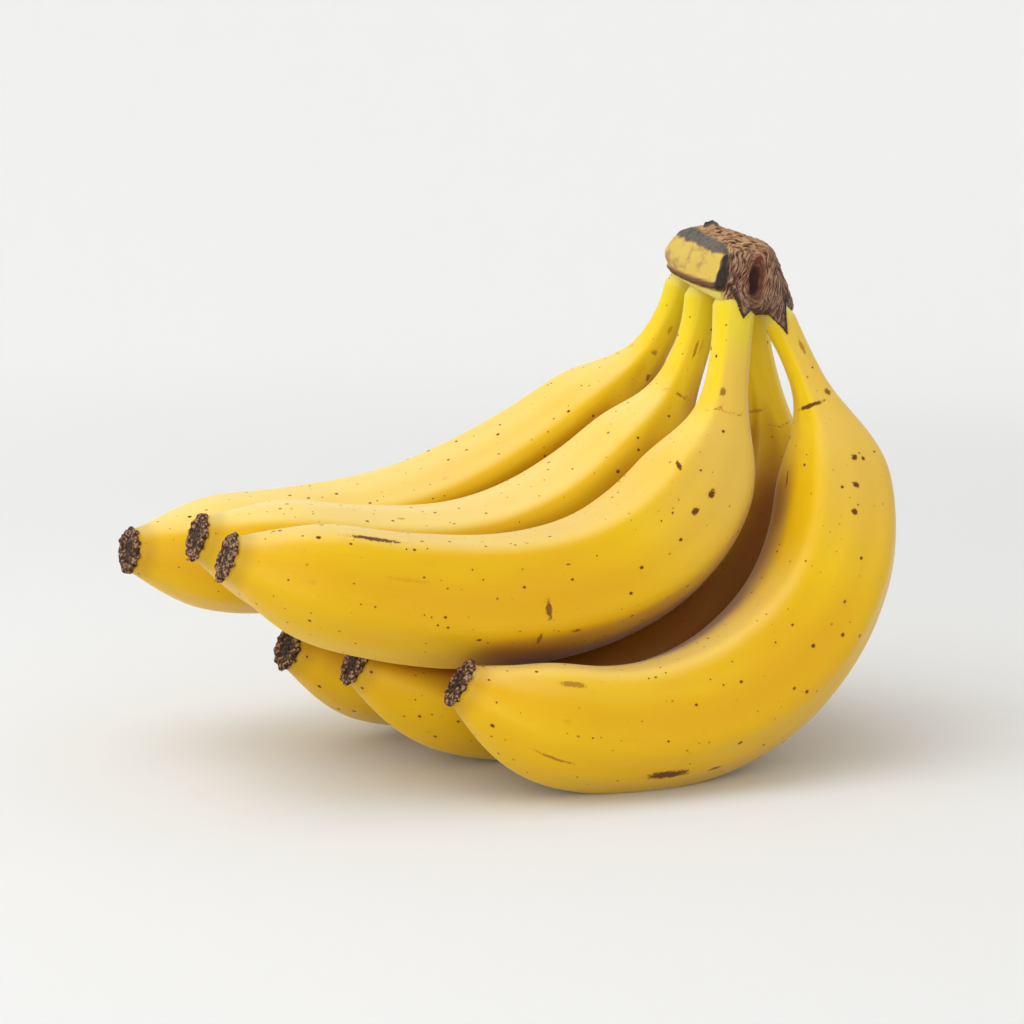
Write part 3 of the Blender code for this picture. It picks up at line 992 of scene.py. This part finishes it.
@dataclass
class BananaFinger:
    """The skin of one finger.

    Attributes:
        finger: its shape.
        peel: its finish.
        ring_spacing: distance between rings.
        sides: corners of a ring.
        neck_softening: length over which changes of girth are eased.
        overlap: how far the skin runs on under the blossom end's lip.
        overlap_slope: how much the radius shrinks for each millimetre of that overlap.
        root_taper: length over which the root narrows, out of sight in the crown.
        root_share: share of its girth that is left at the root.
        wrinkle_size: size of the skin's broad swellings.
        wrinkle_height: how far they stand out.
    """

    finger: Finger
    peel: BananaPeel
    ring_spacing: float = 0.8
    sides: int = 130
    neck_softening: float = 9.0
    overlap: float = 1.8
    overlap_slope: float = 0.4
    root_taper: float = 7.0
    root_share: float = 0.42
    wrinkle_size: float = 30.0
    wrinkle_height: float = 0.6

    def build(self, sweeper: SweepTree) -> bpy.types.Object:
        """Sweep the skin and hang it on the frame.

        Args:
            sweeper: tree that sweeps it.

        Returns:
            The piece.
        """
        finger = self.finger
        made = sweeper.sweep("peel_" + finger.name, self.spine(), {
            "Sides": self.sides, "Ridges": RIDGE_COUNT, "Ridge Turn": math.radians(finger.ridge_turn),
            "Wrinkle Size": self.wrinkle_size * MM, "Wrinkle Height": self.wrinkle_height * MM,
            "Finish": self.peel.material(finger)})
        return finish_piece(made, "finger_" + finger.name)

    def spine(self) -> Spine:
        """Spine of the finger, with a point of no radius at both ends that closes the skin.

        Returns:
            The spine.
        """
        finger = self.finger
        along, points, heading = finger.spine()
        count = round(finger.length / self.ring_spacing)
        at = np.linspace(0, finger.length, count + 1)
        normal = np.array(finger.axes()[2])
        ahead = np.stack([np.interp(at, along, heading[:, axis]) for axis in range(3)], 1)
        ahead /= np.linalg.norm(ahead, axis=1)[:, None]
        centres = np.stack([np.interp(at, along, points[:, axis]) for axis in range(3)], 1)
        ridge_stations = (0, finger.stem, finger.stem + 25, finger.length - 12, finger.length)
        ridges = RIDGE_HEIGHT * steady_curve(ridge_stations, (0.2, 0.6, 1, 0.6, 0), at)
        stations = np.stack([at, at - finger.stem, finger.length - at], 1)
        radii = softened(finger.radius(at), round(self.neck_softening / self.ring_spacing))
        centres = np.vstack([centres, centres[-1] + ahead[-1] * self.overlap])
        ahead, ridges, stations, at, radii = (np.concatenate([row, row[-1:]])
                                              for row in (ahead, ridges, stations, at, radii))
        radii[-1] -= self.overlap * self.overlap_slope
        radii *= np.interp(at, (0, self.root_taper), (self.root_share, 1))
        closed = [0, *range(len(at)), -1]
        radii = radii[closed]
        radii[[0, -1]] = 0
        inward, across = np.cross(normal, ahead)[closed], np.tile(normal, (len(closed), 1))
        return Spine(centres[closed] * MM, inward, across, radii * MM, ridges[closed], stations[closed],
                     at[closed])


def mark_shaded_peel(skins: list[bpy.types.Object], rays: int = 12, start_off: float = 0.3,
                     reach: float = 45.0, rounds: int = 30) -> None:
    """Store on each skin how much of the open air in front of it the fingers take up, from 0 to 1, which the
    peel turns into painted shade.

    Args:
        skins: the fingers' skins.
        rays: how many directions are tried at each point.
        start_off: how far off the skin each of them starts, in millimetres.
        reach: how far off a finger still counts, in millimetres.
        rounds: how often the shares are evened out between neighbouring points.
    """
    fingers = search_tree(skins)
    fan = []
    for i in range(rays):
        rise, turn = math.sqrt(1 - (i + 0.5) / rays), i * GOLDEN_ANGLE
        out = math.sqrt(1 - rise * rise)
        fan.append((out * math.cos(turn), out * math.sin(turn), rise))
    for skin in skins:
        mesh = skin.data
        share = np.zeros(len(mesh.vertices))
        for i, point in enumerate(mesh.vertices):
            normal = point.normal
            across = normal.orthogonal().normalized()
            onward = normal.cross(across)
            start = point.co + normal * (start_off * MM)
            hits = [fingers.ray_cast(start, across * x + onward * y + normal * z, reach * MM)[0]
                    for x, y, z in fan]
            share[i] = 1 - hits.count(None) / rays
        ends = np.empty(len(mesh.edges) * 2, np.int32)
        mesh.edges.foreach_get("vertices", ends)
        one, other = ends.reshape(-1, 2).T
        joined = np.maximum(np.bincount(ends, minlength=len(share)), 1)
        for _ in range(rounds):
            total = np.bincount(one, share[other], len(share)) + np.bincount(other, share[one], len(share))
            share = (share + total / joined) / 2
        write_masks(mesh, {"shaded": share})


@dataclass
class BlossomEnd:
    """The dried flower remnant on the tip of one finger: a ragged lip round a pit.

    Attributes:
        finger: whose tip it caps.
        profile: pairs of distance out from the tip and radius, from the hidden base over the lip and down
            into the pit.
        pit_starts: where the dark of the pit begins, counted in those pairs.
        pit_fades: how many pairs it takes to be full.
        rings: rings of the sweep.
        sides: corners of a ring.
        folds: folds round the lip.
        fold_height: share of the radius that they stand out.
        wrinkle_size: size of its crumples.
        wrinkle_height: how far they stand out.
    """

    finger: Finger
    profile: tuple[tuple[float, float], ...] = (
        (0.2, 0.0), (0.2, 4.4), (1.1, 5.2), (1.5, 5.9), (2.1, 6.2), (2.8, 6.0), (3.3, 5.3), (3.2, 4.6),
        (2.5, 4.0), (2.1, 3.1), (2.3, 2.1), (2.7, 1.2), (2.5, 0.0))
    pit_starts: float = 7.5
    pit_fades: float = 2.0
    rings: int = 60
    sides: int = 110
    folds: int = 11
    fold_height: float = 0.07
    wrinkle_size: float = 3.0
    wrinkle_height: float = 1.9

    def build(self, sweeper: SweepTree, finish: bpy.types.Material) -> bpy.types.Object:
        """Sweep the lip and hang it on the frame.

        Args:
            sweeper: tree that sweeps it.
            finish: its material.

        Returns:
            The piece.
        """
        made = sweeper.sweep("blossom_" + self.finger.name, self.spine(), {
            "Sides": self.sides, "Ridges": self.folds, "Ridge Turn": 0.0,
            "Wrinkle Size": self.wrinkle_size * MM, "Wrinkle Height": self.wrinkle_height * MM,
            "Finish": finish})
        return finish_piece(made, "blossom_end_" + self.finger.name)

    def spine(self) -> Spine:
        """Spine along the finger's last direction, out over the lip and back into the pit.

        Returns:
            The spine.
        """
        _, points, heading = self.finger.spine()
        tip, ahead = points[-1], heading[-1] / np.linalg.norm(heading[-1])
        normal = np.array(self.finger.axes()[2])
        share = np.linspace(0, len(self.profile) - 1, self.rings)
        out, radii = (np.interp(share, range(len(self.profile)), column) for column in zip(*self.profile))
        radii = np.where(share > 0.999, radii, 0)                  # the base is closed up to the second pair
        centres = tip + np.outer(out + FIT_GAP, ahead)
        pit = np.clip((share - self.pit_starts) / self.pit_fades, 0, 1)
        inward, across = (np.tile(axis, (self.rings, 1)) for axis in (np.cross(normal, ahead), normal))
        folds = np.full(self.rings, self.fold_height)
        return Spine(centres * MM, inward, across, radii * MM, folds, np.stack([pit, share, out], 1), share)


@dataclass(frozen=True)
class Hollow:
    """Oval hollow in the cut front of the crown, that the fibres curve round.

    Attributes:
        centre: its middle.
        radii: half its width, half the depth it reaches over, and half its length.
        deepest: how far its middle sinks in.
        fade: distance, as a share of its own edge, over which the sinking dies away.
        facing: angle that the cut front turns from -Y towards +X.
        slant: angle that its length leans over towards +X, going down.
    """

    centre: Point = (66.8, 2.0, 127.2)
    radii: Point = (2.5, 4.0, 6.0)
    deepest: float = 2.2
    fade: float = 0.9
    facing: float = 32.0
    slant: float = 22.0

    def turned(self) -> Matrix:
        """Its own axes, as the columns of a matrix."""
        facing = Matrix.Rotation(math.radians(self.facing), 3, "Z")
        return facing @ Matrix.Rotation(math.radians(self.slant), 3, "Y")

    def distance(self, places: np.ndarray) -> np.ndarray:
        """How far places are from the centre, where 1 is the hollow's own edge."""
        local = (places - np.array(self.centre)) @ np.array(self.turned())
        return np.linalg.norm(local / np.array(self.radii), axis=1)

    def depth(self, places: np.ndarray) -> np.ndarray:
        """How far the hollow sinks places in, in millimetres."""
        return self.deepest * np.exp(-(self.distance(places) / self.fade) ** 2)


@dataclass
class Crown:
    """The cut crown: skinned on its inner side, cut fibrous across its top and front.

    Attributes:
        hollow: the hollow in its cut front.
        voxel: size of its remeshed faces.
        smoothing: how often the remeshed faces are smoothed.
        corner: lower and upper end of the charred edge between the inner side and the cut front.
        nub: middle of the torn nub on its top.
        nub_radii: the nub's half sizes.
        rim_line: places along Y, and the height of the rim at each.
        top_line: places along Y, and the height of the top cut at each.
    """

    hollow: Hollow = field(default_factory=Hollow)
    voxel: float = 0.6
    smoothing: int = 22
    corner: tuple[Point, Point] = ((56.8, -2.6, 126.0), (58.6, -1.2, 136.5))
    nub: Point = (58.0, 42.0, 141.0)
    nub_radii: Point = (2.2, 3.0, 3.0)
    rim_line: tuple[Point, Point] = ((-4.0, 27.0, 60.0), (125.2, 127.0, 128.6))
    top_line: tuple[Point, Point] = ((-2.0, 30.0, 60.0), (135.6, 138.2, 139.6))

    def build(self, finish: bpy.types.Material) -> bpy.types.Object:
        """Remesh, mark and roughen a copy of the solid, and hang it on the frame.

        Args:
            finish: its material.

        Returns:
            The piece.
        """
        mesh = self.remeshed()
        places = np.empty(len(mesh.vertices) * 3, np.float32)
        mesh.vertices.foreach_get("co", places)
        normals = np.empty_like(places)
        mesh.vertices.foreach_get("normal", normals)
        places, normals = places.reshape(-1, 3) / MM, normals.reshape(-1, 3)
        masks = self.masks(places, normals)
        places = places + normals * self.lift(places, masks)[:, None]
        mesh.vertices.foreach_set("co", (places * MM).astype(np.float32).ravel())
        mesh.shade_smooth()
        write_masks(mesh, masks)
        mesh.materials.clear()
        mesh.materials.append(finish)
        return finish_piece(new_object("crown_tissue", mesh), "crown")

    def remeshed(self) -> bpy.types.Mesh:
        """Cover the solid's outer hull, without the stems' sockets, in small even faces.

        Returns:
            The mesh.
        """
        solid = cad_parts["crown"].data.copy()
        work = bmesh.new()
        for point in solid.vertices:
            work.verts.new(point.co)
        bmesh.ops.remove_doubles(work, verts=work.verts, dist=0.01 * MM)
        hull = bmesh.ops.convex_hull(work, input=work.verts)
        bmesh.ops.delete(work, geom=hull["geom_interior"], context="VERTS")
        work.to_mesh(solid)
        work.free()
        source = new_object("crown_source", solid)
        even = source.modifiers.new("even", "REMESH")
        even.mode = "VOXEL"
        even.voxel_size = self.voxel * MM
        soft = source.modifiers.new("soft", "SMOOTH")
        soft.iterations = self.smoothing
        mesh = evaluated_mesh(source)
        bpy.data.objects.remove(source, do_unlink=True)
        return mesh

    def from_nub(self, places: np.ndarray) -> np.ndarray:
        """How far places are from the nub's middle, where 1 is its own edge."""
        return np.linalg.norm((places - np.array(self.nub)) / np.array(self.nub_radii), axis=1)

    def masks(self, places: np.ndarray, normals: np.ndarray) -> dict[str, np.ndarray]:
        """Where each kind of tissue is.

        Args:
            places: points of the crown, in millimetres.
            normals: their normals.

        Returns:
            A share from 0 to 1 for each kind, at every point.
        """
        wobble = noise_at(places, 3.0)
        low, high = (Vector(end) for end in self.corner)
        run = np.array(high - low)
        share = np.clip(((places - np.array(low)) @ run) / (run @ run), 0, 1)
        from_edge = np.linalg.norm(places - (np.array(low) + share[:, None] * run), axis=1)
        inner = smoothstep(-0.08, -0.32, normals[:, 0])
        over_rim = places[:, 2] - np.interp(places[:, 1], *self.rim_line)
        under_top = np.interp(places[:, 1], *self.top_line) - places[:, 2]
        skin = inner * smoothstep(-0.3, 0.3, over_rim)
        masks = {
            "skin": skin,
            "collar": smoothstep(0.2, -0.6, over_rim) * smoothstep(0.1, -0.2, normals[:, 0] + 0.25),
            "rim": inner * smoothstep(1.3, 0.7, np.abs(over_rim - 0.1)),
            "grey": (inner * smoothstep(2.0, 1.2, under_top + wobble * 0.5)
                     * smoothstep(-1.4, -0.7, under_top)),
            "black": (smoothstep(2.3, 1.5, from_edge + wobble * 0.5)
                      * smoothstep(-0.92, -0.6, normals[:, 0])),
            "top": smoothstep(0.55, 0.8, normals[:, 2]),
        }
        nub = smoothstep(1.2, 0.8, self.from_nub(places) + wobble * 0.2)
        masks["black"] = np.maximum(masks["black"], nub)
        masks["skin"] = skin * (1 - masks["black"]) * (1 - masks["grey"])
        return masks

    def lift(self, places: np.ndarray, masks: dict[str, np.ndarray]) -> np.ndarray:
        """How far each point moves out along its normal.

        Args:
            places: points of the crown, in millimetres.
            masks: where each kind of tissue is.

        Returns:
            The distances, in millimetres.
        """
        cut = 1 - np.maximum(masks["skin"], masks["collar"])
        ring = self.hollow.distance(places)
        grooves = np.sin(7 * ring + 3 * noise_at(places, 4.0)) * smoothstep(3.2, 1.0, ring)
        pits = np.maximum(noise_at(places, 2.4) - 0.15, 0)
        return (cut * (0.45 * noise_at(places, 2.6) + 0.3 * noise_at(places, 1.1) + 0.3 * grooves)
                - masks["top"] * 1.6 * pits
                - self.hollow.depth(places) * cut
                + 0.7 * masks["black"] + 0.7 * masks["rim"] + 0.25 * masks["skin"] * noise_at(places, 7.0)
                + 0.9 * smoothstep(1.1, 0.2, self.from_nub(places)) * (0.6 + noise_at(places, 1.0)))


@dataclass
class Skirt:
    """Ragged sheet of dried tissue that hangs from the cut front over the stems, pulled tight to them.

    Attributes:
        hem: its lower edge as pairs of x and z, from the inner corner to the outer side.
        top: its upper edge's height, hidden against the crown.
        least_drop: least height from the hem to the upper edge.
        stand_off: how far it stands off what it lies on.
        start: how far in front the drop on to what it lies on begins, as a Y.
        rounds: how often the sheet is pulled tight.
        sink: how far its upper edge sinks into the crown.
        thickness: its thickness.
        columns: points along the hem.
        rows: points from the upper edge to the hem.
    """

    hem: tuple[tuple[float, float], ...] = (
        (59.6, 124.6), (60.9, 122.6), (63.3, 117.0), (65.3, 119.2), (67.3, 117.4), (70.5, 117.6),
        (73.6, 114.8), (75.9, 112.4), (75.5, 117.0), (75.7, 120.6), (77.0, 122.0))
    top: float = 123.4
    least_drop: float = 3.0
    stand_off: float = 0.5
    start: float = -80.0
    rounds: int = 14
    sink: float = 1.4
    thickness: float = 0.7
    columns: int = 110
    rows: int = 46

    def build(self, finish: bpy.types.Material, under: list[bpy.types.Object]) -> bpy.types.Object:
        """Drop the sheet on what is under it, thicken it and hang it on the frame.

        Args:
            finish: its material.
            under: pieces that it lies on.

        Returns:
            The piece.
        """
        surface = search_tree(under)
        share = np.linspace(0, len(self.hem) - 1, self.columns)
        hem_x, hem_z = (np.interp(share, range(len(self.hem)), column) for column in zip(*self.hem))
        top_x = np.linspace(self.hem[0][0] + 0.5, self.hem[-1][0] - 1.0, self.columns)
        fall = np.linspace(0, 1, self.rows)[:, None]
        top_z = np.maximum(self.top, hem_z + self.least_drop)
        x, z = top_x + (hem_x - top_x) * fall ** 1.5, top_z + (hem_z - top_z) * fall
        depth = np.full(x.shape, np.nan)
        for spot in np.ndindex(x.shape):
            hit = surface.ray_cast(Vector((x[spot], self.start, z[spot])) * MM, Vector((0, 1, 0)))[0]
            depth[spot] = hit.y / MM if hit else np.nan
        depth = np.where(np.isnan(depth), np.nanmax(depth), depth) - self.stand_off
        floor = depth.copy()
        for _ in range(self.rounds):
            padded = np.pad(depth, 1, mode="edge")
            mean = (padded[:-2, 1:-1] + padded[2:, 1:-1] + padded[1:-1, :-2] + padded[1:-1, 2:]) / 4
            depth = np.minimum(mean, floor)
        sunk = self.rows // 4
        depth[:sunk] += np.linspace(self.sink, 0, sunk)[:, None]
        return self.thickened(np.stack([x, depth, z], 2), hem_z, finish)

    def thickened(self, sheet: np.ndarray, hem_z: np.ndarray,
                  finish: bpy.types.Material) -> bpy.types.Object:
        """Mesh of the sheet, thickened, roughened and marked.

        Args:
            sheet: its grid of points.
            hem_z: height of the hem at each column.
            finish: its material.

        Returns:
            The piece.
        """
        rows, columns = sheet.shape[:2]
        faces = [(r * columns + c, (r + 1) * columns + c, (r + 1) * columns + c + 1, r * columns + c + 1)
                 for r in range(rows - 1) for c in range(columns - 1)]
        places = sheet.reshape(-1, 3)
        over_hem = places[:, 2] - np.tile(hem_z, rows)
        lump = 0.35 * noise_at(places, 1.6) + 0.25 * noise_at(places, 0.8)
        places = places + np.array((0.3, -0.9, 0.0)) * lump[:, None]
        mesh = bpy.data.meshes.new("crown_skirt")
        mesh.from_pydata((places * MM).tolist(), [], faces)
        charred = smoothstep(2.8, 0.5, over_hem + noise_at(places, 1.5) * 0.8)
        blank = dict.fromkeys(("skin", "grey", "rim", "collar", "top"), np.zeros(len(places)))
        write_masks(mesh, {"black": np.maximum(charred * 0.85, 0.25), **blank})
        mesh.materials.append(finish)
        mesh.shade_smooth()
        made = new_object("crown_skirt", mesh)
        thick = made.modifiers.new("thickness", "SOLIDIFY")
        thick.thickness = self.thickness * MM
        thick.offset = -1
        made.data = evaluated_mesh(made)
        made.modifiers.clear()
        return finish_piece(made)


@dataclass(frozen=True)
class Lamp:
    """Square soft light that is turned to the hand.

    Attributes:
        name: its name.
        place: where it stands, in metres.
        size: its side, in metres.
        power: its power, in watts.
    """

    name: str
    place: Point
    size: float
    power: float


@dataclass
class Studio:
    """Paper cove, lights and camera.

    Attributes:
        aim: point at the middle of the picture.
        elevation: how far the camera looks down.
        distance: from the camera to the aim point.
        lens: focal length on a 36 mm sensor.
        flat: radius of the floor, in metres, before it curves up.
        bend: radius of that curve, in metres.
        wall: height of the wall, in metres.
        surround: strength of the even white light from all round.
        lamps: a soft key from the upper left and a weaker fill from the front.
        lit: point that the lamps are turned to, in metres.
    """

    aim: Point = (1.1, 17.2, 61.6)
    elevation: float = 8.3
    distance: float = 677.0
    lens: float = 85.0
    flat: float = 1.1
    bend: float = 0.7
    wall: float = 2.4
    surround: float = 0.56
    lamps: tuple[Lamp, ...] = (Lamp("key", (-0.5, -0.1, 1.15), 1.3, 8.2),
                               Lamp("fill", (-0.55, -1.1, 0.15), 1.0, 6.2))
    lit: Point = (0.0, 0.0, 0.05)

    def build(self) -> None:
        """Build all of it."""
        self.build_cove()
        self.build_lights()
        self.build_camera()

    def build_cove(self) -> None:
        """Round paper floor that curves up into a wall all round."""
        profile = [(0.0, 0.0), (self.flat, 0.0)]
        steps = 24
        for i in range(1, steps + 1):
            turn = math.pi / 2 * i / steps
            profile.append((self.flat + self.bend * math.sin(turn), self.bend * (1 - math.cos(turn))))
        profile.append((self.flat + self.bend, self.wall))
        work = bmesh.new()
        points = [work.verts.new((r, 0, z)) for r, z in profile]
        edges = [work.edges.new(pair) for pair in zip(points, points[1:])]
        bmesh.ops.spin(work, geom=points + edges, cent=(0, 0, 0), axis=(0, 0, 1), angle=math.tau, steps=96)
        bmesh.ops.remove_doubles(work, verts=work.verts, dist=0.01 * MM)
        bmesh.ops.recalc_face_normals(work, faces=work.faces)
        mesh = bpy.data.meshes.new("paper_cove")
        work.to_mesh(mesh)
        work.free()
        mesh.flip_normals()
        mesh.shade_smooth()
        mesh.materials.append(StudioPaper().material())
        cove = new_object("paper_cove", mesh)

    def build_lights(self) -> None:
        """The lamps, and an even white surround."""
        world = bpy.data.worlds.new("studio_surround")
        world.use_nodes = True
        background = world.node_tree.nodes["Background"].inputs
        background["Color"].default_value = linear("#FFFFFF")
        background["Strength"].default_value = self.surround
        bpy.context.scene.world = world
        for lamp in self.lamps:
            light = bpy.data.lights.new(lamp.name, "AREA")
            light.size = lamp.size
            light.energy = lamp.power
            holder = new_object(lamp.name, light)
            holder.location = lamp.place
            ray = Vector(self.lit) - Vector(lamp.place)
            holder.rotation_euler = ray.to_track_quat("-Z", "Y").to_euler()
            holder.visible_camera = False

    def build_camera(self) -> None:
        """Camera that looks along +Y and a little down."""
        lens = bpy.data.cameras.new("camera")
        lens.lens = self.lens
        lens.sensor_width = 36.0
        lens.clip_start = 0.01
        holder = new_object("camera", lens)
        rise = math.radians(self.elevation)
        away = Vector((0, -math.cos(rise), math.sin(rise))) * self.distance
        holder.location = (Vector(self.aim) + away) * MM
        holder.rotation_euler = (math.pi / 2 - rise, 0, 0)
        bpy.context.scene.camera = holder


def main() -> None:
    """Build the hand, its studio and its camera."""
    logging.basicConfig(level=logging.INFO, format="%(message)s")
    bpy.context.scene.view_settings.view_transform = "Standard"
    Studio().build()
    sweeper, peel = SweepTree(), BananaPeel()
    blossom = DriedBlossom().material()
    skins = []
    for finger in FINGERS:
        skins.append(BananaFinger(finger, peel).build(sweeper))
        BlossomEnd(finger).build(sweeper, blossom)
    mark_shaded_peel(skins)
    crown = Crown()
    tissue = CutCrown().material(crown.hollow)
    body = crown.build(tissue)
    Skirt().build(tissue, [body, *skins])


if __name__ == "__main__":
    main()
